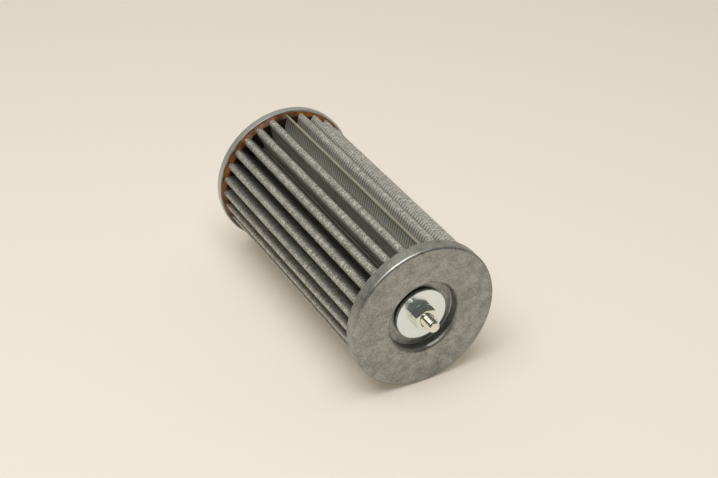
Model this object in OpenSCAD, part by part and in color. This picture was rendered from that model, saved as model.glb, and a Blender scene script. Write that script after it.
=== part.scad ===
// Hydraulic suction strainer: a ring of pleated wire mesh between two pressed caps, clamped by a tie rod.
// It stands on its outlet cap, with +Z along the axis towards the nut end. Millimetres.

/* [Overall] */
// Outside diameter of both caps
cap_od = 72; // [66:0.5:84]
// Length over the two cap faces
body_len = 142; // [110:1:220]

/* [Pressed caps] */
// Sheet thickness of the caps
cap_sheet = 1; // [0.6:0.1:1.4]
// Height of the nut-end cap's skirt
nut_skirt = 6.4; // [4.6:0.1:9]
// Height of the outlet cap's skirt
outlet_skirt = 4.4; // [4:0.1:9]
// Inside radius of the bend between face and skirt
cap_edge_bend = 0.4; // [0.2:0.1:1]
// Inside radius of the shoulder round the nut-end dish
nut_dish_bend = 1.2; // [0.6:0.1:3.2]
// Inside radius of the shoulder round the outlet dish
outlet_dish_bend = 1.4; // [0.6:0.1:2.4]
// Fillet at the foot of both dishes
dish_fillet = 0.8; // [0.3:0.1:1.2]
// Room between the washer's rim and the wall of the nut-end dish
washer_room = 4.7; // [1.5:0.1:5.5]

/* [Pleated mesh] */
// Thickness of the folded mesh pack
mesh_sheet = 0.5; // [0.3:0.05:1.1]
// Distance from pleat to pleat round the crests
pleat_pitch = 8; // [7:0.1:10]
// Bend radius of a crest, to the middle of the sheet
crest_bend = 1.85; // [1.2:0.05:2.1]
// Bend radius of a valley, to the middle of the sheet
valley_bend = 0.9; // [0.7:0.05:1.2]
// Bend radius of the sharp pleat at the seam, to the middle of the sheet
seam_bend = 0.3; // [0.3:0.05:0.8]
// Direction of the seam, in degrees from +X
seam_angle = 268; // [0:1:359]
// How far the crests stray from even spacing, in degrees
crest_stray = 0.7; // [0:0.1:1]
// Room between the crests and the cap's skirt
crest_gap = 0.6; // [0.3:0.1:1.5]
// Distance from the pleat ends to the cap faces inside
pleat_end_gap = 1.5; // [0.6:0.1:2]

/* [Seam clip] */
// Sheet thickness of the clip
clip_sheet = 0.2; // [0.15:0.05:0.5]
// Length of the clip's legs down the flanks of the pleat
clip_leg = 0.5; // [0.3:0.1:5]
// Room between the clip and the mesh
clip_fit = 0.05; // [0.02:0.01:0.15]

/* [Potting] */
// How far the resin stays below the edge of the skirt
potting_sink = 0.2; // [0:0.1:0.6]
// How far the resin rises from the skirt to the pleats
potting_rise = 1.6; // [0.2:0.1:2]
// Width of the slope on which it rises
potting_slope = 1.8; // [1:0.1:3]

/* [Core tube] */
// Wall of the perforated tube
core_wall = 0.8; // [0.5:0.1:1.5]
// Room between the tube and the pleats
core_gap = 0.3; // [0.2:0.05:1]
// Room between the tube and the shoulder of the wider dish
core_seat = 0.2; // [0.1:0.1:2]
// Diameter of the perforations
core_hole_d = 8; // [4:0.5:9]
// Distance between perforations
core_hole_pitch = 12; // [11:0.5:18]
// Plain length at each end of the tube
core_plain = 8; // [5:0.5:20]

/* [Rod and fasteners] */
// Diameter of the tie rod's thread
rod_d = 6; // [5:0.5:8]
// Chamfer at the ends of the rod
rod_chamfer = 0.5; // [0.2:0.1:1]
// Length of rod beyond the nut
rod_proud = 6.6; // [2:0.1:12]
// Length of rod beyond the anchor nut
rod_tail = 1.5; // [0.5:0.1:4]
// Size across the flats of both nuts
nut_flats = 10; // [9:0.5:13]
// Height of both nuts
nut_h = 5; // [3:0.1:6.5]
// Direction of a corner of the rod's nut, in degrees from +X
nut_turn = 38; // [0:1:59]
// Rounding-off of the nuts' corners
nut_chamfer = 0.6; // [0.2:0.1:0.8]
// Radial room between thread and nut
thread_fit = 0.05; // [0.02:0.01:0.2]
// Radial room round the rod in plain holes
rod_room = 0.3; // [0.1:0.05:0.5]
// Outside diameter of the large washer
washer_od = 25; // [20:0.5:28]
// Thickness of the large washer
washer_t = 1.5; // [1:0.1:2.5]
// Depth of the washer's top below the cap's face
washer_sink = 3; // [1.5:0.1:5]
// Outside diameter of the fibre seal
seal_od = 16; // [12:0.5:18]
// Thickness of the fibre seal
seal_t = 1; // [0.5:0.1:2]

/* [Outlet] */
// Bore of the outlet bush, the inner diameter of its pipe thread
port_d = 24.1; // [20:0.1:27]
// Wall of the bush round the thread
port_wall = 2.95; // [2:0.05:4]
// Length of the threaded bore
port_depth = 15; // [10:0.5:20]
// Chamfer at the mouth of the bore
port_chamfer = 1; // [0.5:0.1:1.5]
// Width of the bush's flange
flange_w = 3.75; // [2.5:0.05:4.5]
// Thickness of the bush's flange
flange_t = 3; // [2:0.1:4]
// Depth of the flange below the cap's face
flange_sink = 0.5; // [0.2:0.1:1.5]
// Room between the flange and the wall of the outlet dish
flange_room = 0.55; // [0.3:0.05:1]
// Room between the bush and the hole in the cap
port_fit = 0.3; // [0.1:0.05:0.5]
// Thickness of the outlet gasket
gasket_t = 1.5; // [0.8:0.1:2.5]
// Room between the gasket and the foot of the dish's wall
gasket_room = 0.2; // [0.1:0.05:0.5]

/* [Spider] */
// Thickness of the spider plate
spider_t = 2.5; // [1.5:0.1:4]
// Step from the threaded bore down to the spider's bore
spider_step = 1; // [0.6:0.1:1.5]
// Width of the lip that the spider bears on
spider_lip = 2; // [1.2:0.1:2.5]
// Thickness of that lip
lip_t = 3.5; // [2:0.1:6]
// Radial room between the spider and its bore
spider_fit = 0.1; // [0.05:0.01:0.2]
// Width of the spider's arms
arm_w = 3; // [2:0.1:4]
// Width of the spider's outer ring
spider_rim = 2.2; // [1.5:0.1:2.6]
// Width of the spider's hub round the rod
spider_hub = 2.4; // [1.5:0.1:2.8]
// Distance from the threaded bore to the rod's end
rod_end_room = 0.5; // [0.2:0.1:3]

/* [Hidden] */
$fn = 128;
bend_steps = 6;
arm_count = 3;
stray_waves = 3;
reach = 1;

zinc_sheet = [0.56, 0.55, 0.52];
bright_zinc = [0.78, 0.80, 0.77];
wire_grey = [0.60, 0.59, 0.56];
amber = [0.45, 0.24, 0.08];
fibre = [0.55, 0.25, 0.18];
rubber = [0.08, 0.08, 0.08];

cap_r = cap_od / 2;
cap_edge = cap_edge_bend + cap_sheet;
rod_r = rod_d / 2;
rod_hole_r = rod_r + rod_room;
washer_r = washer_od / 2;

// Nut-end dish, from the washer outwards and downwards
nut_dish_r = washer_r + washer_room;
nut_dish_depth = washer_sink + washer_t + seal_t;

// Outlet bush and its dish, from the pipe bore outwards
port_r = port_d / 2;
bush_r = port_r + port_wall;
port_hole_r = bush_r + port_fit;
flange_r = bush_r + flange_w;
outlet_dish_r = flange_r + flange_room;
outlet_dish_depth = flange_sink + flange_t + gasket_t;
gasket_r = min(flange_r, outlet_dish_r - dish_fillet - gasket_room);

// A shoulder is limited by the depth of its dish
function shoulder(bend, depth) = min(bend + cap_sheet, depth - dish_fillet);
nut_shoulder = shoulder(nut_dish_bend, nut_dish_depth);
outlet_shoulder = shoulder(outlet_dish_bend, outlet_dish_depth);

// Core tube round the wider of the two dishes, then the pleats out to the skirt
core_ir = max(nut_dish_r + nut_shoulder, outlet_dish_r + outlet_shoulder) + core_seat;
core_or = core_ir + core_wall;
root_r = core_or + core_gap;
crest_r = cap_r - cap_sheet - crest_gap;
pleat_end = cap_sheet + pleat_end_gap;
pleat_len = body_len - 2 * pleat_end;

// Rod and outlet, upwards from the mouth of the bore
port_end = flange_sink + port_depth;
rod_start = port_end + rod_end_room;
anchor_z = rod_start + rod_tail;
spider_z = anchor_z + nut_h;
lip_z = spider_z + spider_t;
spider_bore_r = port_r - spider_step;
spider_r = spider_bore_r - spider_fit;
washer_z = body_len - nut_dish_depth + seal_t;
nut_z = washer_z + washer_t;
rod_top = nut_z + nut_h + rod_proud;

// Points on a circle and along an arc
function polar(r, a) = [r * cos(a), r * sin(a)];
function arc(centre, r, from, to, steps = bend_steps) =
    [for (i = [0:steps]) centre + polar(r, from + (to - from) * i / steps)];

// Section of a pressed cap in radius and depth, with its outer face at depth 0
function cap_section(hole_r, floor_r, depth, shoulder_r, skirt) =
    let (foot = [floor_r - dish_fillet, depth - dish_fillet],
         brow = [floor_r + shoulder_r, shoulder_r],
         edge = [cap_r - cap_edge, cap_edge])
    concat(
        [[hole_r, depth]],
        arc(foot, dish_fillet, 90, 0),
        arc(brow, shoulder_r, 180, 270),
        arc(edge, cap_edge, 270, 360),
        [[cap_r, skirt], [cap_r - cap_sheet, skirt]],
        arc(edge, cap_edge_bend, 360, 270),
        arc(brow, shoulder_r - cap_sheet, 270, 180),
        arc(foot, dish_fillet + cap_sheet, 0, 90),
        [[hole_r, depth + cap_sheet]]);

// Section of the resin that fills a cap from the core tube to the skirt
function potting_section(skirt) =
    let (rim_z = skirt - potting_sink,
         top_z = rim_z + potting_rise)
    concat(
        [[core_ir, top_z], [core_ir, cap_sheet]],
        arc([cap_r - cap_edge, cap_edge], cap_edge_bend, 270, 360),
        [[cap_r - cap_sheet, rim_z], [cap_r - cap_sheet - potting_slope, top_z]]);

// Pleats: crest 0 is the seam, and valley k lies between crests k and k + 1
pleats = floor(2 * PI * crest_r / pleat_pitch + 0.5);
function crest_angle(k) = seam_angle + k * 360 / pleats + crest_stray * sin(k * 360 * stray_waves / pleats);
function valley_angle(k) = (crest_angle(k) + crest_angle(k + 1)) / 2;
function bend(k) = k % pleats == 0 ? seam_bend : crest_bend;
function crest_centre_r(k) = crest_r - bend(k) - mesh_sheet / 2;
valley_centre_r = root_r + valley_bend + mesh_sheet / 2;

// Angle between a crest's own direction and the outward normal of its flank,
// for the straight flank that touches the crest's bend and the next valley's bend
function flank_normal(k, to_valley) =
    let (run = polar(valley_centre_r, to_valley) - [crest_centre_r(k), 0])
    atan2(run[1], run[0]) - acos((bend(k) + valley_bend) / norm(run));
function normal_after(k) = crest_angle(k) + flank_normal(k, valley_angle(k) - crest_angle(k));
function normal_before(k) = crest_angle(k) - flank_normal(k, crest_angle(k) - valley_angle(k - 1));

// One face of the sheet, at a distance from the sheet's middle
function crest_arc(k, side) =
    arc(polar(crest_centre_r(k), crest_angle(k)), bend(k) + side, normal_before(k), normal_after(k));
function valley_arc(k, side) =
    arc(polar(valley_centre_r, valley_angle(k)), side - valley_bend, normal_after(k), normal_before(k + 1));
function sheet_face(side) = [for (k = [0:pleats - 1]) each concat(crest_arc(k, side), valley_arc(k, side))];

module mesh_outline() {
    difference() {
        polygon(sheet_face(mesh_sheet / 2));
        polygon(sheet_face(-mesh_sheet / 2));
    }
}

// The clip follows the seam's bend and runs down both flanks
function clip_face(side) =
    let (bow = crest_arc(0, side),
         down_first = normal_before(0) - 90,
         down_last = normal_after(0) + 90)
    concat([bow[0] + polar(clip_leg, down_first)], bow, [bow[bend_steps] + polar(clip_leg, down_last)]);

function reversed(list) = [for (i = [len(list) - 1:-1:0]) list[i]];

module clip_outline() {
    inside = mesh_sheet / 2 + clip_fit;
    polygon(concat(clip_face(inside + clip_sheet), reversed(clip_face(inside))));
}

module pressed_cap(hole_r, floor_r, depth, shoulder_r, skirt) {
    rotate_extrude() polygon(cap_section(hole_r, floor_r, depth, shoulder_r, skirt));
}

// Places a piece of the outlet end at the nut end, turned over
module at_nut_end() {
    translate([0, 0, body_len]) mirror([0, 0, 1]) children();
}

module ring(outer_r, inner_r, height) {
    difference() {
        cylinder(r = outer_r, h = height);
        translate([0, 0, -reach]) cylinder(r = inner_r, h = height + 2 * reach);
    }
}

// Resin in one cap, cast round the ends of the core tube, the mesh and the clip
module potting(skirt) {
    cut_h = skirt + potting_rise;
    difference() {
        rotate_extrude() polygon(potting_section(skirt));
        translate([0, 0, pleat_end]) {
            linear_extrude(cut_h) mesh_outline();
            linear_extrude(cut_h) clip_outline();
            ring(core_or, core_ir - reach, cut_h);
        }
    }
}

// Hex nut with its corners turned off at both ends
module hex_nut() {
    corner_r = nut_flats / sqrt(3);
    face_r = corner_r - nut_chamfer * sqrt(3);
    difference() {
        intersection() {
            cylinder(r = corner_r, h = nut_h, $fn = 6);
            rotate_extrude()
                polygon([[0, 0], [face_r, 0], [corner_r, nut_chamfer], [corner_r, nut_h - nut_chamfer],
                    [face_r, nut_h], [0, nut_h]]);
        }
        translate([0, 0, -reach]) cylinder(r = rod_r + thread_fit, h = nut_h + 2 * reach);
    }
}

module nut_end_cap() {
    color(zinc_sheet)
        at_nut_end() pressed_cap(rod_hole_r, nut_dish_r, nut_dish_depth, nut_shoulder, nut_skirt);
}

module outlet_end_cap() {
    color(zinc_sheet)
        pressed_cap(port_hole_r, outlet_dish_r, outlet_dish_depth, outlet_shoulder, outlet_skirt);
}

module pleated_mesh() {
    color(wire_grey)
        translate([0, 0, pleat_end]) linear_extrude(pleat_len) mesh_outline();
}

module seam_clip() {
    color(wire_grey)
        translate([0, 0, pleat_end]) linear_extrude(pleat_len) clip_outline();
}

module nut_end_potting() {
    color(amber)
        at_nut_end() potting(nut_skirt);
}

module outlet_end_potting() {
    color(amber)
        potting(outlet_skirt);
}

// Perforated tube, with every second row of holes half a step round
module core_tube() {
    row_step = core_hole_pitch * sqrt(3) / 2;
    rows = floor((pleat_len - 2 * core_plain) / row_step);
    round_count = floor(2 * PI * core_or / core_hole_pitch);
    first_row = (pleat_len - (rows - 1) * row_step) / 2;
    color(zinc_sheet)
        translate([0, 0, pleat_end])
            difference() {
                ring(core_or, core_ir, pleat_len);
                for (row = [0:rows - 1], i = [0:round_count - 1])
                    translate([0, 0, first_row + row * row_step])
                        rotate([0, 0, (i + row % 2 / 2) * 360 / round_count])
                            rotate([0, 90, 0])
                                translate([0, 0, core_ir / 2]) cylinder(d = core_hole_d, h = core_or);
            }
}

module tie_rod() {
    tip_r = rod_r - rod_chamfer;
    color(bright_zinc)
        rotate_extrude()
            polygon([[0, rod_start], [tip_r, rod_start], [rod_r, rod_start + rod_chamfer],
                [rod_r, rod_top - rod_chamfer], [tip_r, rod_top], [0, rod_top]]);
}

module rod_washer() {
    color(bright_zinc)
        translate([0, 0, washer_z]) ring(washer_r, rod_hole_r, washer_t);
}

module rod_nut() {
    color(bright_zinc)
        translate([0, 0, nut_z]) rotate([0, 0, nut_turn]) hex_nut();
}

module rod_seal() {
    color(fibre)
        translate([0, 0, washer_z - seal_t]) ring(seal_od / 2, rod_hole_r, seal_t);
}

// Turned bush: flange in the dish, pipe bore from below, then the spider's bore and its lip
module outlet_bush() {
    bush_top = lip_z + lip_t;
    lip_r = spider_bore_r - spider_lip;
    flange_top = flange_sink + flange_t;
    color(bright_zinc)
        rotate_extrude()
            polygon([[port_r + port_chamfer, flange_sink], [flange_r, flange_sink], [flange_r, flange_top],
                [bush_r, flange_top], [bush_r, bush_top], [lip_r, bush_top], [lip_r, lip_z],
                [spider_bore_r, lip_z], [spider_bore_r, port_end], [port_r, port_end],
                [port_r, flange_sink + port_chamfer]]);
}

module outlet_gasket() {
    color(rubber)
        translate([0, 0, flange_sink + flange_t]) ring(gasket_r, port_hole_r, gasket_t);
}

module rod_spider() {
    window_r = spider_r - spider_rim;
    hub_r = rod_hole_r + spider_hub;
    color(bright_zinc)
        translate([0, 0, spider_z])
            difference() {
                ring(spider_r, rod_hole_r, spider_t);
                translate([0, 0, -reach])
                    difference() {
                        ring(window_r, hub_r, spider_t + 2 * reach);
                        for (i = [0:arm_count - 1])
                            rotate([0, 0, i * 360 / arm_count])
                                translate([0, -arm_w / 2, -reach])
                                    cube([spider_r, arm_w, spider_t + 4 * reach]);
                    }
            }
}

module anchor_nut() {
    color(bright_zinc)
        translate([0, 0, anchor_z]) hex_nut();
}

nut_end_cap();
outlet_end_cap();
pleated_mesh();
seam_clip();
nut_end_potting();
outlet_end_potting();
core_tube();
tie_rod();
rod_washer();
rod_nut();
rod_seal();
outlet_bush();
outlet_gasket();
rod_spider();
anchor_nut();
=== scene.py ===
"""A suction strainer of pleated wire mesh, lying on a pale table, built round its CAD frame."""

import math

import bpy
import numpy as np
from mathutils import Matrix, Vector
from mathutils.kdtree import KDTree


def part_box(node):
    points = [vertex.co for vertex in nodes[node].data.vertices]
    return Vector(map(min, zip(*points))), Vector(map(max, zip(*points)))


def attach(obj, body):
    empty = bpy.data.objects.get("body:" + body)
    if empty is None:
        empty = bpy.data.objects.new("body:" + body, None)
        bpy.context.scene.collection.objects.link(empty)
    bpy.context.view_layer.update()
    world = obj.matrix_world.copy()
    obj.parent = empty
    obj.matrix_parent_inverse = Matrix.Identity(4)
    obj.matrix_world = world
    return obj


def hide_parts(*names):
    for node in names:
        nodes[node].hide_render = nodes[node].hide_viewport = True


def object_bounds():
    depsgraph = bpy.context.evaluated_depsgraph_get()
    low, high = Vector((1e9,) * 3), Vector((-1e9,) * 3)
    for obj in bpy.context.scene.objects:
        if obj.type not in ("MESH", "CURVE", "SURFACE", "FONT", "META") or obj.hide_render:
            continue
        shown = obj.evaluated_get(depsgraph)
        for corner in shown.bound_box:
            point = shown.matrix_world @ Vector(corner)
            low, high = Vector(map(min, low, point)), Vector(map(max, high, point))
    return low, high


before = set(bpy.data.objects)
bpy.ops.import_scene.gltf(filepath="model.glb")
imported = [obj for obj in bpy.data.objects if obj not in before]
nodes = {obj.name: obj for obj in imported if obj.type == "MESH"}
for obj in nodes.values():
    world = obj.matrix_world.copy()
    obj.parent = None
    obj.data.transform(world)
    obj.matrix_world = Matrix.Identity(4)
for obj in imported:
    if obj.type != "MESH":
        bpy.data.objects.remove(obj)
cad_low, cad_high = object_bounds()

MM = 0.001
FULL_TURN = 2 * math.pi
WELD = 1e-6


# Points and faces

def grid_faces(rows, columns, wrap_rows, wrap_columns):
    """Four-sided faces over a grid of points, joined round where it wraps."""
    row = np.arange(rows if wrap_rows else rows - 1)[:, None]
    column = np.arange(columns if wrap_columns else columns - 1)[None, :]
    row_next = (row + 1) % rows
    column_next = (column + 1) % columns
    corners = [
        row * columns + column,
        row_next * columns + column,
        row_next * columns + column_next,
        row * columns + column_next,
    ]
    return np.stack(corners, -1).reshape(-1, 4)


def turn_angles(count):
    """Even turns round the axis."""
    return np.arange(count) * FULL_TURN / count


def anticlockwise(outline):
    """True if a closed outline in a plane runs anticlockwise."""
    after = np.roll(outline, -1, axis=0)
    return np.sum(outline[:, 0] * after[:, 1] - after[:, 0] * outline[:, 1]) > 0


def spun_points(sections):
    """Points of sections, as radius and height, each set at its own turn round the axis."""
    turns = turn_angles(len(sections))[:, None]
    radius = sections[:, :, 0]
    points = np.stack([radius * np.cos(turns), radius * np.sin(turns), sections[:, :, 1]], -1)
    return points.reshape(-1, 3)


def turned_ring(sections):
    """A ring whose closed section may change from turn to turn."""
    if not anticlockwise(sections[0]):
        sections = sections[:, ::-1]
    faces = grid_faces(sections.shape[0], sections.shape[1], True, True)
    return spun_points(sections), faces.tolist()


def turned_bar(sections):
    """A solid bar whose side runs from its lower end to its upper end."""
    turns, steps = sections.shape[:2]
    faces = grid_faces(turns, steps, True, False).tolist()
    first = np.arange(turns) * steps
    faces.append(first[::-1].tolist())
    faces.append((first + steps - 1).tolist())
    return spun_points(sections), faces


def same_all_round(section, turns):
    """One section repeated at every turn."""
    return np.broadcast_to(section, (turns, *section.shape))


def arc(centre, radius, start, end, steps):
    """Points along an arc, with its angles in degrees."""
    angles = np.radians(np.linspace(start, end, steps + 1))
    return np.stack([centre[0] + radius * np.cos(angles), centre[1] + radius * np.sin(angles)], -1)


# Sizes read from the CAD nodes

def node_points(name):
    """The points of a CAD node."""
    mesh = nodes[name].data
    flat = np.empty(len(mesh.vertices) * 3)
    mesh.vertices.foreach_get("co", flat)
    return flat.reshape(-1, 3)


def node_radii(name):
    """The smallest and largest distance of a CAD node's points from the axis."""
    points = node_points(name)
    radius = np.hypot(points[:, 0], points[:, 1])
    return radius.min(), radius.max()


def node_heights(name):
    """The lower and upper end of a CAD node along the axis."""
    low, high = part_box(name)
    return low.z, high.z


# Pieces

SHARP_ANGLE = math.radians(32)
ROUNDING_STEPS = 2


def put_in_scene(name, data):
    """A new object in the scene."""
    thing = bpy.data.objects.new(name, data)
    bpy.context.scene.collection.objects.link(thing)
    return thing


def add_piece(name, shape, look, stands_for, edge=0.0):
    """Adds a piece that stands for a CAD node, with rounded edges if a width is given for them."""
    points, faces = shape
    mesh = bpy.data.meshes.new(name)
    mesh.from_pydata(points.tolist(), [], faces)
    mesh.shade_smooth()
    mesh.set_sharp_from_angle(angle=SHARP_ANGLE)
    mesh.materials.append(look)
    piece = put_in_scene(name, mesh)
    if edge:
        rounding = piece.modifiers.new("rounded_edges", "BEVEL")
        rounding.width = edge
        rounding.segments = ROUNDING_STEPS
        rounding.limit_method = "ANGLE"
        rounding.angle_limit = SHARP_ANGLE
        rounding.harden_normals = True
    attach(piece, "root")
    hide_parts(stands_for)
    return piece


def finish_node(name, look):
    """Gives a CAD node that is shown as it is its look."""
    node = nodes[name]
    node.data.materials.clear()
    node.data.materials.append(look)


# Steps in a tree of shader nodes

# Where a mix node keeps its two inputs and its result
MIX_SOCKETS = {"FLOAT": (2, 3, 0), "RGBA": (6, 7, 2)}


def feed(tree, value, socket):
    """Links a socket to another one, or sets it to a plain value."""
    if isinstance(value, bpy.types.NodeSocket):
        tree.links.new(value, socket)
    elif socket.type == "RGBA":
        socket.default_value = (*value, 1.0)
    else:
        socket.default_value = value


def maths(tree, operation, *values):
    """One step of arithmetic on sockets or numbers."""
    node = tree.nodes.new("ShaderNodeMath")
    node.operation = operation
    for socket, value in zip(node.inputs, values):
        feed(tree, value, socket)
    return node.outputs[0]


def vector_maths(tree, operation, *values):
    """One step of arithmetic on vectors, whose result is a vector or a value."""
    node = tree.nodes.new("ShaderNodeVectorMath")
    node.operation = operation
    for socket, value in zip(node.inputs, values):
        feed(tree, value, socket)
    return node.outputs


def mixed(tree, kind, share, first, second):
    """Two values or colours, mixed by the share of the second."""
    mix = tree.nodes.new("ShaderNodeMix")
    mix.data_type = kind
    first_at, second_at, result_at = MIX_SOCKETS[kind]
    feed(tree, share, mix.inputs["Factor"])
    feed(tree, first, mix.inputs[first_at])
    feed(tree, second, mix.inputs[second_at])
    return mix.outputs[result_at]


def spread(tree, value, start, end, lowest=0.0, curve="SMOOTHSTEP"):
    """A value drawn out from its lowest at the start of a range to 1 at its end."""
    drawn = tree.nodes.new("ShaderNodeMapRange")
    drawn.interpolation_type = curve
    drawn.inputs["To Min"].default_value = lowest
    feed(tree, value, drawn.inputs["Value"])
    feed(tree, start, drawn.inputs["From Min"])
    feed(tree, end, drawn.inputs["From Max"])
    return drawn.outputs[0]


def noise_of_size(tree, size, where, detail):
    """Noise whose lumps have the size that a socket gives, in metres."""
    noise = tree.nodes.new("ShaderNodeTexNoise")
    noise.inputs["Detail"].default_value = detail
    tree.links.new(where, noise.inputs["Vector"])
    tree.links.new(maths(tree, "DIVIDE", 1.0, size), noise.inputs["Scale"])
    return noise.outputs[0]


def bumped(tree, height, depth):
    """A normal that follows a height of a given depth."""
    bump = tree.nodes.new("ShaderNodeBump")
    bump.inputs["Strength"].default_value = 1.0
    feed(tree, depth, bump.inputs["Distance"])
    tree.links.new(height, bump.inputs["Height"])
    return bump.outputs[0]


# Effects that the looks use

FLOAT = "NodeSocketFloat"
COLOUR = "NodeSocketColor"
VECTOR = "NodeSocketVector"
BLOTCH_DETAIL = 4.0
GRAIN_DETAIL = 2.0
RIPPLE_DETAIL = 2.0
TILT_DETAIL = 0.0
NOISE_LOW = 0.32
NOISE_HIGH = 0.68
WEAVE_MAP = "weave"
STRAY_SIZE = 9 * MM
HOOPS_PER_STRIPE = 3
ALONG_AXIS = (0.0, 0.0, 1.0)
ACROSS_AXIS = (1.0, 1.0, 0.0)


def new_effect(name, inputs, outputs):
    """An empty node group with named sockets."""
    tree = bpy.data.node_groups.new(name, "ShaderNodeTree")
    for in_out, sockets in (("INPUT", inputs), ("OUTPUT", outputs)):
        for socket, kind in sockets.items():
            tree.interface.new_socket(socket, in_out=in_out, socket_type=kind)
    return tree, tree.nodes.new("NodeGroupInput"), tree.nodes.new("NodeGroupOutput")


def make_mottle():
    """Two colours in soft blotches with a fine grain over them."""
    inputs = {
        "Light": COLOUR,
        "Dark": COLOUR,
        "Blotch size": FLOAT,
        "Grain size": FLOAT,
        "Grain": FLOAT,
    }
    tree, given, put = new_effect("mottle", inputs, {"Color": COLOUR})
    where = tree.nodes.new("ShaderNodeTexCoord").outputs["Object"]
    blotch = noise_of_size(tree, given.outputs["Blotch size"], where, BLOTCH_DETAIL)
    grain = noise_of_size(tree, given.outputs["Grain size"], where, GRAIN_DETAIL)
    blotches, grains = [
        spread(tree, noise, NOISE_LOW, NOISE_HIGH, curve="LINEAR") for noise in (blotch, grain)]
    share = mixed(tree, "FLOAT", given.outputs["Grain"], blotches, grains)
    tint = mixed(tree, "RGBA", share, given.outputs["Dark"], given.outputs["Light"])
    tree.links.new(tint, put.inputs["Color"])
    return tree


def make_ripple():
    """A normal that ripples in lumps of a given size and depth."""
    tree, given, put = new_effect("ripple", {"Size": FLOAT, "Depth": FLOAT}, {"Normal": VECTOR})
    where = tree.nodes.new("ShaderNodeTexCoord").outputs["Object"]
    lumps = noise_of_size(tree, given.outputs["Size"], where, RIPPLE_DETAIL)
    tree.links.new(bumped(tree, lumps, given.outputs["Depth"]), put.inputs["Normal"])
    return tree


def white_noise(tree, dimensions, socket, value):
    """A chance value for each whole number or pair of numbers."""
    chance = tree.nodes.new("ShaderNodeTexWhiteNoise")
    chance.noise_dimensions = dimensions
    tree.links.new(value, chance.inputs[socket])
    return chance.outputs["Value"]


def make_weave():
    """A plain weave: its height, chance values for each crossing and hoop wire, and stripes of hoops."""
    inputs = {
        "Pitch round": FLOAT,
        "Pitch along": FLOAT,
        "Waviness": FLOAT,
        "Slack": FLOAT,
    }
    outputs = {
        "Height": FLOAT,
        "Crossing": FLOAT,
        "Hoop": FLOAT,
        "Stripe": FLOAT,
    }
    tree, given, put = new_effect("weave", inputs, outputs)
    layout = tree.nodes.new("ShaderNodeUVMap")
    layout.uv_map = WEAVE_MAP
    where = layout.outputs["UV"]
    split = tree.nodes.new("ShaderNodeSeparateXYZ")
    tree.links.new(where, split.inputs[0])
    stray = tree.nodes.new("ShaderNodeTexNoise")
    stray.noise_dimensions = "2D"
    stray.inputs["Scale"].default_value = 1 / STRAY_SIZE
    tree.links.new(where, stray.inputs["Vector"])
    shift = maths(tree, "MULTIPLY", stray.outputs[0], given.outputs["Waviness"])
    counts = []
    for axis, pitch in (("X", "Pitch round"), ("Y", "Pitch along")):
        count = maths(tree, "DIVIDE", split.outputs[axis], given.outputs[pitch])
        counts.append(maths(tree, "ADD", count, shift))

    waves = [maths(tree, "COSINE", maths(tree, "MULTIPLY", count, math.pi)) for count in counts]
    both = maths(tree, "MULTIPLY", *waves)
    hoop = maths(tree, "ADD", maths(tree, "ABSOLUTE", waves[1]), both)
    upright = maths(tree, "SUBTRACT", maths(tree, "ABSOLUTE", waves[0]), both)
    height = maths(tree, "DIVIDE", maths(tree, "MAXIMUM", hoop, upright), 2.0)
    tilt = noise_of_size(tree, given.outputs["Pitch round"], where, TILT_DETAIL)
    loose = maths(tree, "MULTIPLY", tilt, given.outputs["Slack"])
    tree.links.new(maths(tree, "ADD", height, loose), put.inputs["Height"])

    whole = [maths(tree, "ROUND", count) for count in counts]
    crossing = tree.nodes.new("ShaderNodeCombineXYZ")
    for socket, number in zip(crossing.inputs, whole):
        tree.links.new(number, socket)
    chance = white_noise(tree, "2D", "Vector", crossing.outputs[0])
    tree.links.new(chance, put.inputs["Crossing"])
    tree.links.new(white_noise(tree, "1D", "W", whole[1]), put.inputs["Hoop"])
    swing = maths(tree, "COSINE", maths(tree, "MULTIPLY", counts[1], FULL_TURN / HOOPS_PER_STRIPE))
    stripe = maths(tree, "DIVIDE", maths(tree, "ADD", swing, 1.0), 2.0)
    tree.links.new(stripe, put.inputs["Stripe"])
    return tree


def make_reach():
    """How far a point lies between two distances from the axis, from 0 to 1."""
    inputs = {"Inner radius": FLOAT, "Outer radius": FLOAT}
    tree, given, put = new_effect("reach", inputs, {"Share": FLOAT})
    where = tree.nodes.new("ShaderNodeTexCoord").outputs["Object"]
    flat = vector_maths(tree, "MULTIPLY", where, ACROSS_AXIS)["Vector"]
    radius = vector_maths(tree, "LENGTH", flat)["Value"]
    share = spread(tree, radius, given.outputs["Inner radius"], given.outputs["Outer radius"])
    tree.links.new(share, put.inputs["Share"])
    return tree


MOTTLE = make_mottle()
RIPPLE = make_ripple()
WEAVE = make_weave()
REACH = make_reach()


# Looks with mottled colour, and those of the metals

METAL_GRAIN = 0.9 * MM
EVEN_GRAIN = 0.5


def new_look(name, metallic, roughness):
    """A material with its shader's plain values set."""
    look = bpy.data.materials.new(name)
    look.use_nodes = True
    shader = look.node_tree.nodes["Principled BSDF"]
    shader.inputs["Metallic"].default_value = metallic
    shader.inputs["Roughness"].default_value = roughness
    return look, shader


def add_effect(look, effect, values):
    """A node group in a look, with values for its sockets."""
    node = look.node_tree.nodes.new("ShaderNodeGroup")
    node.node_tree = effect
    for socket, value in values.items():
        feed(look.node_tree, value, node.inputs[socket])
    return node.outputs


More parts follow.
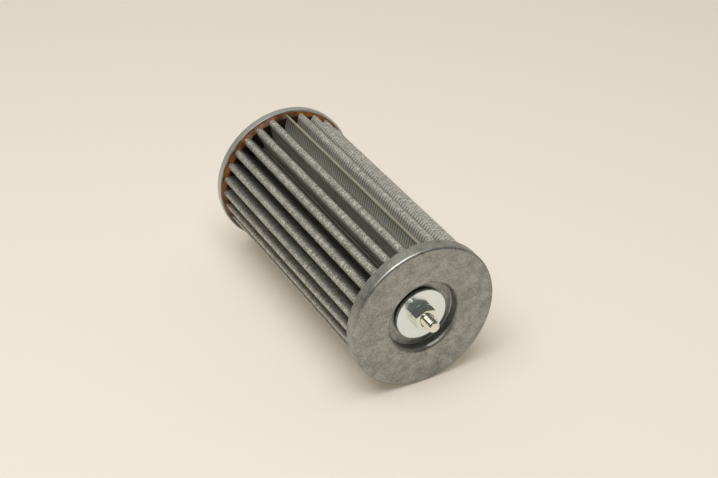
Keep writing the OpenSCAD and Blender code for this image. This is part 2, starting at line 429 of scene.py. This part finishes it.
def mottled_look(
        name, light, dark, metallic, roughness, blotch, grain, ripple, depth, grain_share=EVEN_GRAIN):
    """A look with mottled colour and a rippled surface."""
    look, shader = new_look(name, metallic, roughness)
    mottle_values = {
        "Light": light,
        "Dark": dark,
        "Blotch size": blotch,
        "Grain size": grain,
        "Grain": grain_share,
    }
    mottle = add_effect(look, MOTTLE, mottle_values)
    ripples = add_effect(look, RIPPLE, {"Size": ripple, "Depth": depth})
    links = look.node_tree.links
    links.new(mottle["Color"], shader.inputs["Base Color"])
    links.new(ripples["Normal"], shader.inputs["Normal"])
    return look, shader


def metal_look(name, light, dark, roughness, blotch, ripple, depth):
    """A mottled metal."""
    look, _ = mottled_look(
        name, light, dark, metallic=1.0, roughness=roughness, blotch=blotch, grain=METAL_GRAIN,
        ripple=ripple, depth=depth)
    return look


ZINC_SHEET = metal_look(
    "zinc_sheet", light=(0.48, 0.485, 0.463), dark=(0.225, 0.228, 0.213), roughness=0.42,
    blotch=4.5 * MM, ripple=0.9 * MM, depth=0.04 * MM)
PALE_ZINC = metal_look(
    "pale_zinc", light=(0.62, 0.63, 0.62), dark=(0.46, 0.47, 0.46), roughness=0.40,
    blotch=6 * MM, ripple=0.9 * MM, depth=0.03 * MM)
WASHER_ZINC = metal_look(
    "washer_zinc", light=(0.86, 0.92, 0.93), dark=(0.78, 0.85, 0.87), roughness=0.20,
    blotch=6 * MM, ripple=3 * MM, depth=0.01 * MM)
BRIGHT_ZINC = metal_look(
    "bright_zinc", light=(0.87, 0.87, 0.77), dark=(0.78, 0.78, 0.70), roughness=0.13,
    blotch=6 * MM, ripple=3 * MM, depth=0.004 * MM)
SEAM_STEEL = metal_look(
    "seam_steel", light=(0.62, 0.58, 0.49), dark=(0.46, 0.43, 0.35), roughness=0.36,
    blotch=6 * MM, ripple=2 * MM, depth=0.02 * MM)


# Look of the woven wire

WIRE_ROUGHNESS = 0.42
WIRE_LIGHT = (0.97, 0.95, 0.88)
WIRE_DARK = (0.26, 0.255, 0.228)
# Painted shade seen in the gaps of the weave.
GAP_PAINTED_SHADE = (0.02, 0.02, 0.018)
# Painted shade on the side of each pleat that faces one way round the axis.
PAINTED_SHADE_SIDE_COLOUR = (0.05, 0.048, 0.043)
# Painted shade deep in the valleys between the pleats.
VALLEY_PAINTED_SHADE = (0.25, 0.242, 0.216)
PITCH_ROUND = 0.55 * MM
PITCH_ALONG = 0.60 * MM
WIRE_WAVINESS = 0.3
WIRE_SLACK = 1.0
WEAVE_DEPTH = 0.25 * MM
CROSSING_SHARE = 0.6
GAP_HEIGHTS = (0.60, 0.90)
# How far a surface faces round the axis where the painted light and the painted shade begin and end.
PAINTED_LIGHT_SIDE = (0.55, 0.97)
PAINTED_SHADE_SIDE = (-0.95, -0.3)
PAINTED_SHADE_SIDE_LEAST = 0.3
VALLEY_SHADE_REACH = {"Inner radius": 23 * MM, "Outer radius": 26.5 * MM}
CREST_REACH = {"Inner radius": 28 * MM, "Outer radius": 32 * MM}
# Shares of the painted light on the lit side of each pleat.
DEEP_PAINTED_LIGHT = 0.35
CALM_SHARE = 0.25
STRIPE_SHARE = 0.65


def facing_round(tree):
    """How far a surface faces round the axis, from -1 one way to 1 the other way."""
    where = tree.nodes.new("ShaderNodeTexCoord")
    turned = vector_maths(tree, "CROSS_PRODUCT", ALONG_AXIS, where.outputs["Object"])["Vector"]
    unit = vector_maths(tree, "NORMALIZE", turned)["Vector"]
    return vector_maths(tree, "DOT_PRODUCT", unit, where.outputs["Normal"])["Value"]


def painted_light_stripes(look, shine, stripe):
    """Painted light on the lit side of a pleat: stripes every third hoop, and more painted light further
    in.
    """
    tree = look.node_tree
    crest = add_effect(look, REACH, CREST_REACH)["Share"]
    deep_painted_light = maths(tree, "MULTIPLY", maths(tree, "SUBTRACT", 1.0, crest), DEEP_PAINTED_LIGHT)
    calm = maths(tree, "ADD", maths(tree, "MULTIPLY", shine, CALM_SHARE), deep_painted_light)
    return maths(tree, "ADD", calm, maths(tree, "MULTIPLY", stripe, STRIPE_SHARE))


def woven_look():
    """Woven wire: uneven crossings, painted shade in the gaps and deep in the valleys, and painted shade
    on one side of each pleat with painted light on the other.
    """
    look, shader = new_look("woven_wire", metallic=1.0, roughness=WIRE_ROUGHNESS)
    tree = look.node_tree
    weave_values = {
        "Pitch round": PITCH_ROUND,
        "Pitch along": PITCH_ALONG,
        "Waviness": WIRE_WAVINESS,
        "Slack": WIRE_SLACK,
    }
    weave = add_effect(look, WEAVE, weave_values)
    facing = facing_round(tree)
    # Painted light on one side of each pleat, painted shade on the other side.
    painted_light_side = spread(tree, facing, *PAINTED_LIGHT_SIDE)
    painted_shade_side = spread(tree, facing, *PAINTED_SHADE_SIDE, lowest=PAINTED_SHADE_SIDE_LEAST)

    crossing = maths(tree, "MULTIPLY", weave["Crossing"], CROSSING_SHARE)
    hoop = maths(tree, "MULTIPLY", weave["Hoop"], 1 - CROSSING_SHARE)
    shine = maths(tree, "ADD", crossing, hoop)
    # Painted light on the lit side of each pleat, mixed in only there.
    painted_light_shine = painted_light_stripes(look, shine, weave["Stripe"])
    all_shine = mixed(tree, "FLOAT", painted_light_side, shine, painted_light_shine)
    wire = mixed(tree, "RGBA", all_shine, WIRE_DARK, WIRE_LIGHT)

    # Painted shade in the gaps of the weave; on the side with painted light the gaps are closed.
    filled = spread(tree, weave["Height"], *GAP_HEIGHTS)
    closed = maths(tree, "MAXIMUM", filled, painted_light_side)
    open_weave = mixed(tree, "RGBA", closed, GAP_PAINTED_SHADE, wire)
    flank = mixed(tree, "RGBA", painted_shade_side, PAINTED_SHADE_SIDE_COLOUR, open_weave)
    # Painted shade deep in the valleys, near the axis.
    valley_shade = add_effect(look, REACH, VALLEY_SHADE_REACH)["Share"]
    shaded = mixed(tree, "RGBA", valley_shade, VALLEY_PAINTED_SHADE, flank)
    tree.links.new(shaded, shader.inputs["Base Color"])
    tree.links.new(bumped(tree, weave["Height"], WEAVE_DEPTH), shader.inputs["Normal"])
    return look


WOVEN_WIRE = woven_look()


# Looks of resin, fibre and rubber

# Painted shade on the resin between the pleats, nearer the axis than the rim.
RESIN_PAINTED_SHADE = (0.022, 0.011, 0.007)
RESIN_PAINTED_SHADE_REACH = {"Inner radius": 32 * MM, "Outer radius": 35.4 * MM}
RESIN_SPECULAR = 0.25


def resin_look():
    """Dark amber potting resin, glossy, uneven in colour, with painted shade on the resin between the
    pleats.
    """
    look, shader = mottled_look(
        "amber_resin", light=(0.42, 0.14, 0.018), dark=(0.010, 0.005, 0.003), metallic=0.0,
        roughness=0.36, blotch=3.2 * MM, grain=0.9 * MM, ripple=2.5 * MM, depth=0.15 * MM,
        grain_share=0.2)
    tree = look.node_tree
    # Painted shade between the pleats, fading to the amber at the rim.
    reach = add_effect(look, REACH, RESIN_PAINTED_SHADE_REACH)["Share"]
    amber = shader.inputs["Base Color"].links[0].from_socket
    shaded = mixed(tree, "RGBA", reach, RESIN_PAINTED_SHADE, amber)
    tree.links.new(shaded, shader.inputs["Base Color"])
    shader.inputs["Specular IOR Level"].default_value = RESIN_SPECULAR
    return look


AMBER_RESIN = resin_look()
RED_FIBRE = mottled_look(
    "red_fibre", light=(0.36, 0.12, 0.07), dark=(0.24, 0.08, 0.05), metallic=0.0, roughness=0.7,
    blotch=2 * MM, grain=0.4 * MM, ripple=0.5 * MM, depth=0.05 * MM)[0]
BLACK_RUBBER = mottled_look(
    "black_rubber", light=(0.022, 0.022, 0.022), dark=(0.014, 0.014, 0.014), metallic=0.0,
    roughness=0.6, blotch=3 * MM, grain=0.5 * MM, ripple=0.6 * MM, depth=0.03 * MM)[0]


# Pressed caps

CAP_R = cad_high.x
BODY_LEN = node_heights("nut_end_cap")[1]
CAP_SHEET = 1.0 * MM
NUT_SKIRT = 6.4 * MM
OUTLET_SKIRT = 4.4 * MM
SKIRT_EDGE = 0.15 * MM
EDGE_BEND = 0.4 * MM
NUT_SHOULDER = 2.2 * MM
OUTLET_SHOULDER = 2.4 * MM
DISH_FILLET = 0.8 * MM
NUT_DISH_R = 17.2 * MM
OUTLET_DISH_R = 19.3 * MM
CAP_TURNS = 256
BEND_STEPS = 10


def cap_section(hole_r, floor_r, depth, shoulder, skirt):
    """The section of a pressed cap, as radius and depth below its face."""
    edge_r = EDGE_BEND + CAP_SHEET
    foot = (floor_r - DISH_FILLET, depth - DISH_FILLET)
    brow = (floor_r + shoulder, shoulder)
    edge = (CAP_R - edge_r, edge_r)
    runs = [
        [(hole_r, depth)],
        arc(foot, DISH_FILLET, 90, 0, BEND_STEPS),
        arc(brow, shoulder, 180, 270, BEND_STEPS),
        arc(edge, edge_r, 270, 360, BEND_STEPS),
        [(CAP_R, skirt), (CAP_R - CAP_SHEET, skirt)],
        arc(edge, EDGE_BEND, 360, 270, BEND_STEPS),
        arc(brow, shoulder - CAP_SHEET, 270, 180, BEND_STEPS),
        arc(foot, DISH_FILLET + CAP_SHEET, 0, 90, BEND_STEPS),
        [(hole_r, depth + CAP_SHEET)],
    ]
    return np.concatenate([np.asarray(run) for run in runs])


def turned_over(section):
    """A section of the outlet end, set at the nut end."""
    return section * [1, -1] + [0, BODY_LEN]


def add_caps():
    """Both pressed caps."""
    nut_depth = BODY_LEN - node_heights("rod_seal")[0]
    outlet_depth = node_heights("outlet_gasket")[1]
    nut_hole = node_radii("nut_end_cap")[0]
    outlet_hole = node_radii("outlet_end_cap")[0]
    nut_section = cap_section(nut_hole, NUT_DISH_R, nut_depth, NUT_SHOULDER, NUT_SKIRT)
    outlet_section = cap_section(
        outlet_hole, OUTLET_DISH_R, outlet_depth, OUTLET_SHOULDER, OUTLET_SKIRT)
    nut_shape = turned_ring(same_all_round(turned_over(nut_section), CAP_TURNS))
    outlet_shape = turned_ring(same_all_round(outlet_section, CAP_TURNS))
    add_piece("nut_cap_sheet", nut_shape, ZINC_SHEET, "nut_end_cap", SKIRT_EDGE)
    add_piece("outlet_cap_sheet", outlet_shape, PALE_ZINC, "outlet_end_cap", SKIRT_EDGE)


add_caps()


# Pleated mesh

MESH_SHEET = 0.5 * MM
MESH_STEP = 0.4 * MM


def end_outlines(name):
    """The closed outlines of the flat lower end of a CAD node, the widest first."""
    points = node_points(name)
    at_end = points[:, 2] < points[:, 2].min() + WELD
    keys = [tuple(key) for key in np.round(points[:, :2] / WELD).astype(int)]
    edges = set()
    for face in nodes[name].data.polygons:
        corners = list(face.vertices)
        if all(at_end[v] for v in corners):
            ring = [keys[v] for v in corners]
            edges.update(zip(ring, ring[1:] + ring[:1]))
    follow = {start: end for start, end in edges if (end, start) not in edges}
    outlines = []
    while follow:
        start = min(follow)
        outline = [start]
        here = follow.pop(start)
        while here != start:
            outline.append(here)
            here = follow.pop(here)
        outlines.append(np.array(outline) * WELD)
    outlines.sort(key=lambda line: -np.hypot(line[:, 0], line[:, 1]).max())
    return [line if anticlockwise(line) else line[::-1] for line in outlines]


def outline_length(outline):
    """The length of a closed outline."""
    return np.linalg.norm(np.roll(outline, -1, axis=0) - outline, axis=1).sum()


def even_steps(outline, count):
    """A closed outline cut into even steps."""
    closed = np.vstack([outline, outline[:1]])
    along = np.concatenate([[0], np.cumsum(np.linalg.norm(np.diff(closed, axis=0), axis=1))])
    at = np.arange(count) * along[-1] / count
    return np.stack([np.interp(at, along, closed[:, axis]) for axis in (0, 1)], -1)


def outward(outline):
    """The outward normal at each point of a closed anticlockwise outline."""
    along = np.roll(outline, -1, axis=0) - np.roll(outline, 1, axis=0)
    along /= np.linalg.norm(along, axis=1)[:, None]
    return np.stack([along[:, 1], -along[:, 0]], -1)


outer_outline, inner_outline = end_outlines("pleated_mesh")


def add_mesh():
    """The folded mesh, with a map of how far each point lies along the fold and along the axis."""
    low, high = node_heights("pleated_mesh")
    length = outline_length(outer_outline)
    count = int(length / MESH_STEP)
    face = even_steps(outer_outline, count)
    back = face - MESH_SHEET * outward(face)
    levels = [(face, low), (face, high), (back, high), (back, low)]
    corners = [np.column_stack([line, np.full(count, z)]) for line, z in levels]
    points = np.stack(corners, 1).reshape(-1, 3)
    faces = grid_faces(count, len(levels), True, True).tolist()
    piece = add_piece("woven_mesh", (points, faces), WOVEN_WIRE, "pleated_mesh")

    here = np.arange(count) * length / count
    beyond = here + length / count
    heights = np.array([z for _, z in levels])
    across = np.stack([here, beyond, beyond, here], -1)[:, None]
    after = np.roll(heights, -1)
    along = np.stack([heights, heights, after, after], -1)[None]
    layout = np.stack(np.broadcast_arrays(across, along), -1)
    piece.data.uv_layers.new(name=WEAVE_MAP).data.foreach_set("uv", layout.ravel())


add_mesh()
finish_node("seam_clip", SEAM_STEEL)
finish_node("core_tube", ZINC_SHEET)


# Potting resin

RESIN_TURNS = 810
RESIN_STEPS = 30
OUTLINE_STEPS = 3000
RESIN_SINK = 0.2 * MM
RESIN_RISE = 1.6 * MM
RESIN_SLOPE = 1.8 * MM
CREEP_RISE = 0.7 * MM
CREEP_REACH = 0.7 * MM
LUMP_HEIGHT = 0.25 * MM
LUMP_WIDTH = 2.1 * MM
LUMPS_ROUND = 7
LUMPS_START = 1.3

# Ridges over the lumps: how many go round, where they start, their width and their share of the height
RIDGES = [
    (19, 0.4, 1.3 * MM, 0.6),
    (43, 0.0, 0.9 * MM, 0.4),
]


def resin_lumps(turns, radius):
    """Slow unevenness of the resin's surface."""
    lumps = np.sin(LUMPS_ROUND * turns + LUMPS_START) * np.sin(radius / LUMP_WIDTH)
    for count, start, width, share in RIDGES:
        lumps = lumps + share * np.sin(count * turns + start + radius / width)
    return LUMP_HEIGHT * lumps


def gaps_to_mesh(x, y):
    """How far each point lies from the nearer outline of the mesh."""
    lines = [even_steps(line, OUTLINE_STEPS) for line in (outer_outline, inner_outline)]
    spots = np.concatenate(lines)
    tree = KDTree(len(spots))
    for number, spot in enumerate(spots):
        tree.insert((*spot, 0.0), number)
    tree.balance()
    gaps = [tree.find((a, b, 0.0))[2] for a, b in zip(x.ravel(), y.ravel())]
    return np.array(gaps).reshape(x.shape)


def resin_sections(skirt):
    """Sections of the resin in a cap, creeping up where it meets the mesh."""
    inner_r = node_radii("core_tube")[0]
    outer_r = CAP_R - CAP_SHEET
    radius = np.linspace(inner_r, outer_r, RESIN_STEPS)[None]
    turns = turn_angles(RESIN_TURNS)[:, None]
    gap = gaps_to_mesh(radius * np.cos(turns), radius * np.sin(turns))
    slope = np.clip((outer_r - radius) / RESIN_SLOPE, 0, 1)
    creep = CREEP_RISE * np.exp(-gap / CREEP_REACH)
    top = skirt - RESIN_SINK + slope * (RESIN_RISE + creep + resin_lumps(turns, radius))
    surface = np.stack([np.broadcast_to(radius, top.shape), top], -1)[:, ::-1]
    floor = np.array([
        (inner_r, CAP_SHEET),
        (outer_r - EDGE_BEND, CAP_SHEET),
        (outer_r, CAP_SHEET + EDGE_BEND),
    ])
    return np.concatenate([same_all_round(floor, RESIN_TURNS), surface], 1)


def add_resin():
    """The resin at both ends."""
    outlet_shape = turned_ring(resin_sections(OUTLET_SKIRT))
    nut_shape = turned_ring(turned_over(resin_sections(NUT_SKIRT)))
    add_piece("outlet_resin", outlet_shape, AMBER_RESIN, "outlet_end_potting")
    add_piece("nut_resin", nut_shape, AMBER_RESIN, "nut_end_potting")


add_resin()


# Rod, nuts, washers and outlet bush

ROD_PITCH = 1.0 * MM
ROD_THREAD = 0.61 * MM
ROD_CHAMFER = 0.7 * MM
ROD_TURNS = 48
PORT_PITCH = 2.309 * MM
PORT_THREAD = 1.3 * MM
PORT_TURNS = 144
STEPS_PER_PITCH = 8
THREAD_FLAT = 0.125
NUT_FLATS = 10 * MM
NUT_SIDES = 6
NUT_TURNS = 360
NUT_MOUTH = 0.5 * MM
NUT_FACE_SHARE = 0.94
NUT_CHAMFER = math.radians(30)
NUT_LEAST_CHAMFER = 0.02 * MM
RING_EDGE = 0.12 * MM
SPIDER_PLAY = 0.1 * MM
SPIDER_LEDGE = 1 * MM
BUSH_WALL = 2.95 * MM
FLANGE_THICK = 3 * MM
PORT_MOUTH = 1 * MM
PORT_DEPTH = 15 * MM
LIP_THICK = 3.5 * MM


def thread_cut(height, turns, pitch):
    """How deep a V thread is cut, from 0 on its flat crest to 1 at its flat root."""
    phase = height / pitch - turns / FULL_TURN
    cut = 2 * np.abs(phase - np.floor(phase + 0.5))
    return np.clip(cut * (1 + 2 * THREAD_FLAT) - THREAD_FLAT, 0, 1)


def add_rod():
    """The threaded rod with its chamfered ends."""
    low, high = node_heights("tie_rod")
    rod_r = node_radii("tie_rod")[1]
    steps = int((high - low) / ROD_PITCH * STEPS_PER_PITCH)
    height = np.linspace(low, high, steps)[None]
    turns = turn_angles(ROD_TURNS)[:, None]
    radius = rod_r - ROD_THREAD * thread_cut(height, turns, ROD_PITCH)
    end = np.minimum(height - low, high - height)
    radius = np.minimum(radius, rod_r - np.clip(ROD_CHAMFER - end, 0, ROD_CHAMFER))
    shape = turned_bar(np.stack([radius, np.broadcast_to(height, radius.shape)], -1))
    add_piece("threaded_rod", shape, BRIGHT_ZINC, "tie_rod")


def corner_turn(name):
    """The turn at which a CAD node reaches furthest from the axis."""
    points = node_points(name)
    furthest = points[np.hypot(points[:, 0], points[:, 1]).argmax()]
    return math.atan2(furthest[1], furthest[0])


def hex_nut(name):
    """A hex nut with the place of a CAD node, its corners and bore chamfered."""
    low, high = node_heights(name)
    bore = node_radii(name)[0]
    half = NUT_FLATS / 2
    face_r = NUT_FACE_SHARE * half
    side = FULL_TURN / NUT_SIDES
    corner = corner_turn(name)
    sections = []
    for turn in turn_angles(NUT_TURNS):
        wall = half / math.cos((turn - corner) % side - side / 2)
        drop = max(wall - face_r, NUT_LEAST_CHAMFER) * math.tan(NUT_CHAMFER)
        sections.append([
            (bore + NUT_MOUTH, low),
            (face_r, low),
            (wall, low + drop),
            (wall, high - drop),
            (face_r, high),
            (bore + NUT_MOUTH, high),
            (bore, high - NUT_MOUTH),
            (bore, low + NUT_MOUTH),
        ])
    return turned_ring(np.array(sections))


def flat_ring(name):
    """A plain ring with the size of a CAD node."""
    low, high = node_heights(name)
    inner, outer = node_radii(name)
    section = np.array([(inner, low), (outer, low), (outer, high), (inner, high)])
    return turned_ring(same_all_round(section, CAP_TURNS))


def add_bush():
    """The outlet bush, with its pipe thread cut in the bore."""
    low, high = node_heights("outlet_bush")
    lip_r, flange_r = node_radii("outlet_bush")
    spider_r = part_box("rod_spider")[1].x + SPIDER_PLAY
    port_r = spider_r + SPIDER_LEDGE
    bush_r = port_r + BUSH_WALL
    flange_top = low + FLANGE_THICK
    bore_end = low + PORT_DEPTH
    lip_z = high - LIP_THICK
    turns = turn_angles(PORT_TURNS)[:, None]
    height = np.arange(bore_end, low + PORT_MOUTH, -PORT_PITCH / STEPS_PER_PITCH)[None]
    run_out = np.clip((bore_end - height) / PORT_PITCH, 0, 1)
    cut = (1 - thread_cut(height, turns, PORT_PITCH)) * run_out
    thread = np.stack([port_r + PORT_THREAD * cut, np.broadcast_to(height, cut.shape)], -1)
    outside = np.array([
        (port_r + PORT_THREAD + PORT_MOUTH, low),
        (flange_r, low),
        (flange_r, flange_top),
        (bush_r, flange_top),
        (bush_r, high),
        (lip_r, high),
        (lip_r, lip_z),
        (spider_r, lip_z),
        (spider_r, bore_end),
    ])
    shape = turned_ring(np.concatenate([same_all_round(outside, PORT_TURNS), thread], 1))
    add_piece("threaded_bush", shape, BRIGHT_ZINC, "outlet_bush")


def add_fasteners():
    """Everything along the rod."""
    add_rod()
    for name in ("rod_nut", "anchor_nut"):
        add_piece("hex_" + name, hex_nut(name), BRIGHT_ZINC, name)
    rings = [
        ("wide_washer", "rod_washer", WASHER_ZINC, "bright_zinc"),
        ("fibre_seal", "rod_seal", RED_FIBRE, "red_fibre"),
        ("port_gasket", "outlet_gasket", BLACK_RUBBER, "black_rubber"),
    ]
    for name, node, look, slot in rings:
        add_piece(name, flat_ring(node), look, node, RING_EDGE)
    add_bush()
    finish_node("rod_spider", BRIGHT_ZINC)


add_fasteners()


# Table, light and camera

CAMERA_PLACE = Vector((0.30256, -0.43055, 0.63239))
CAMERA_RIGHT = Vector((-0.87656, 0.0, 0.48129))
CAMERA_BACK = Vector((0.39891, -0.5595, 0.72652))
LENS = 81.294
SENSOR = 36.0
NEAREST = 0.01
FURTHEST = 20.0
TABLE_UP = Vector((0.0, -1.0, 0.0))
BEYOND = TABLE_UP.cross(CAMERA_RIGHT)
TABLE_HALF = 3.0
TABLE_ROUGHNESS = 0.9
TABLE_SPECULAR = 0.1
TABLE_SEEN = (0.895, 0.84, 0.80)
TABLE_BOUNCE = (0.85, 0.79, 0.70)
SHADOW_LIFT = 0.22
SHADOW_COLOUR = (0.82, 0.69, 0.45)
LAMP_FRONT = 0.29
LAMP_LEFT = 0.13
LAMP_DISTANCE = 1.1
LAMP_WIDTH = 1.0
LAMP_DEPTH = 0.76
LAMP_POWER = 11.1
LAMP_COLOUR = (1.0, 0.99, 0.97)
ROOM_FRONT = (0.115, 0.115, 0.112)
ROOM_BACK = (0.55, 0.53, 0.465)
ROOM_CHANGE = (-0.3, 0.7)
ROOM_SEEN = (0.80, 0.76, 0.68)


def mixed_shaders(tree, share, first, second):
    """Two shaders, mixed by the share of the second."""
    mix = tree.nodes.new("ShaderNodeMixShader")
    for socket, value in zip(mix.inputs, (share, first, second)):
        tree.links.new(value, socket)
    return mix.outputs[0]


def table_look():
    """A pale table top with a warm shadow, lifted for the camera, and clear when seen from behind."""
    look, shader = new_look("table", metallic=0.0, roughness=TABLE_ROUGHNESS)
    shader.inputs["Specular IOR Level"].default_value = TABLE_SPECULAR
    tree = look.node_tree
    to_camera = tree.nodes.new("ShaderNodeLightPath").outputs["Is Camera Ray"]
    colour = mixed(tree, "RGBA", to_camera, TABLE_BOUNCE, TABLE_SEEN)
    tree.links.new(colour, shader.inputs["Base Color"])
    lift = tree.nodes.new("ShaderNodeEmission")
    feed(tree, SHADOW_COLOUR, lift.inputs["Color"])
    lift_share = maths(tree, "MULTIPLY", to_camera, SHADOW_LIFT)
    lifted = mixed_shaders(tree, lift_share, shader.outputs[0], lift.outputs[0])
    behind = tree.nodes.new("ShaderNodeNewGeometry").outputs["Backfacing"]
    clear = tree.nodes.new("ShaderNodeBsdfTransparent").outputs[0]
    surface = mixed_shaders(tree, behind, lifted, clear)
    tree.links.new(surface, tree.nodes["Material Output"].inputs["Surface"])
    return look


def add_table():
    """The table that the strainer lies on."""
    height = cad_high.y
    low_z = BODY_LEN / 2 - TABLE_HALF
    high_z = BODY_LEN / 2 + TABLE_HALF
    corners = [
        (-TABLE_HALF, height, low_z),
        (TABLE_HALF, height, low_z),
        (TABLE_HALF, height, high_z),
        (-TABLE_HALF, height, high_z),
    ]
    mesh = bpy.data.meshes.new("table")
    mesh.from_pydata(corners, [], [(0, 1, 2, 3)])
    mesh.materials.append(table_look())
    table = put_in_scene("table", mesh)


def aim(thing, place, right, back):
    """Sets a lamp or a camera at a place, by the ways to its right and back from what it faces."""
    turn = Matrix((right, back.cross(right), back)).transposed()
    thing.matrix_world = Matrix.Translation(place) @ turn.to_4x4()


def add_lamp():
    """One wide soft lamp overhead, a little in front of the strainer and to its left."""
    lamp = bpy.data.lights.new("key", "AREA")
    lamp.shape = "RECTANGLE"
    lamp.size = LAMP_WIDTH
    lamp.size_y = LAMP_DEPTH
    lamp.energy = LAMP_POWER
    lamp.color = LAMP_COLOUR
    middle = Vector((0.0, 0.0, BODY_LEN / 2))
    away = (TABLE_UP - BEYOND * LAMP_FRONT - CAMERA_RIGHT * LAMP_LEFT).normalized()
    across = (CAMERA_RIGHT - away * CAMERA_RIGHT.dot(away)).normalized()
    aim(put_in_scene("key", lamp), middle + away * LAMP_DISTANCE, across, away)


def add_room():
    """Light from the room, darker in front and lighter behind, with a pale backdrop for the camera."""
    world = bpy.data.worlds.new("room")
    bpy.context.scene.world = world
    world.use_nodes = True
    tree = world.node_tree
    where = tree.nodes.new("ShaderNodeTexCoord").outputs["Generated"]
    depth = vector_maths(tree, "DOT_PRODUCT", where, BEYOND)["Value"]
    shade = mixed(tree, "RGBA", spread(tree, depth, *ROOM_CHANGE), ROOM_FRONT, ROOM_BACK)
    to_camera = tree.nodes.new("ShaderNodeLightPath").outputs["Is Camera Ray"]
    light = tree.nodes["Background"]
    light.inputs["Strength"].default_value = 1.0
    colour = mixed(tree, "RGBA", to_camera, shade, ROOM_SEEN)
    tree.links.new(colour, light.inputs["Color"])


def add_camera():
    """The camera, set as the photo was taken."""
    lens = bpy.data.cameras.new("camera")
    lens.lens = LENS
    lens.sensor_width = SENSOR
    lens.sensor_fit = "HORIZONTAL"
    lens.clip_start = NEAREST
    lens.clip_end = FURTHEST
    camera = put_in_scene("camera", lens)
    aim(camera, CAMERA_PLACE, CAMERA_RIGHT, CAMERA_BACK)
    bpy.context.scene.camera = camera


add_table()
add_lamp()
add_room()
add_camera()
bpy.context.scene.view_settings.view_transform = "Standard"
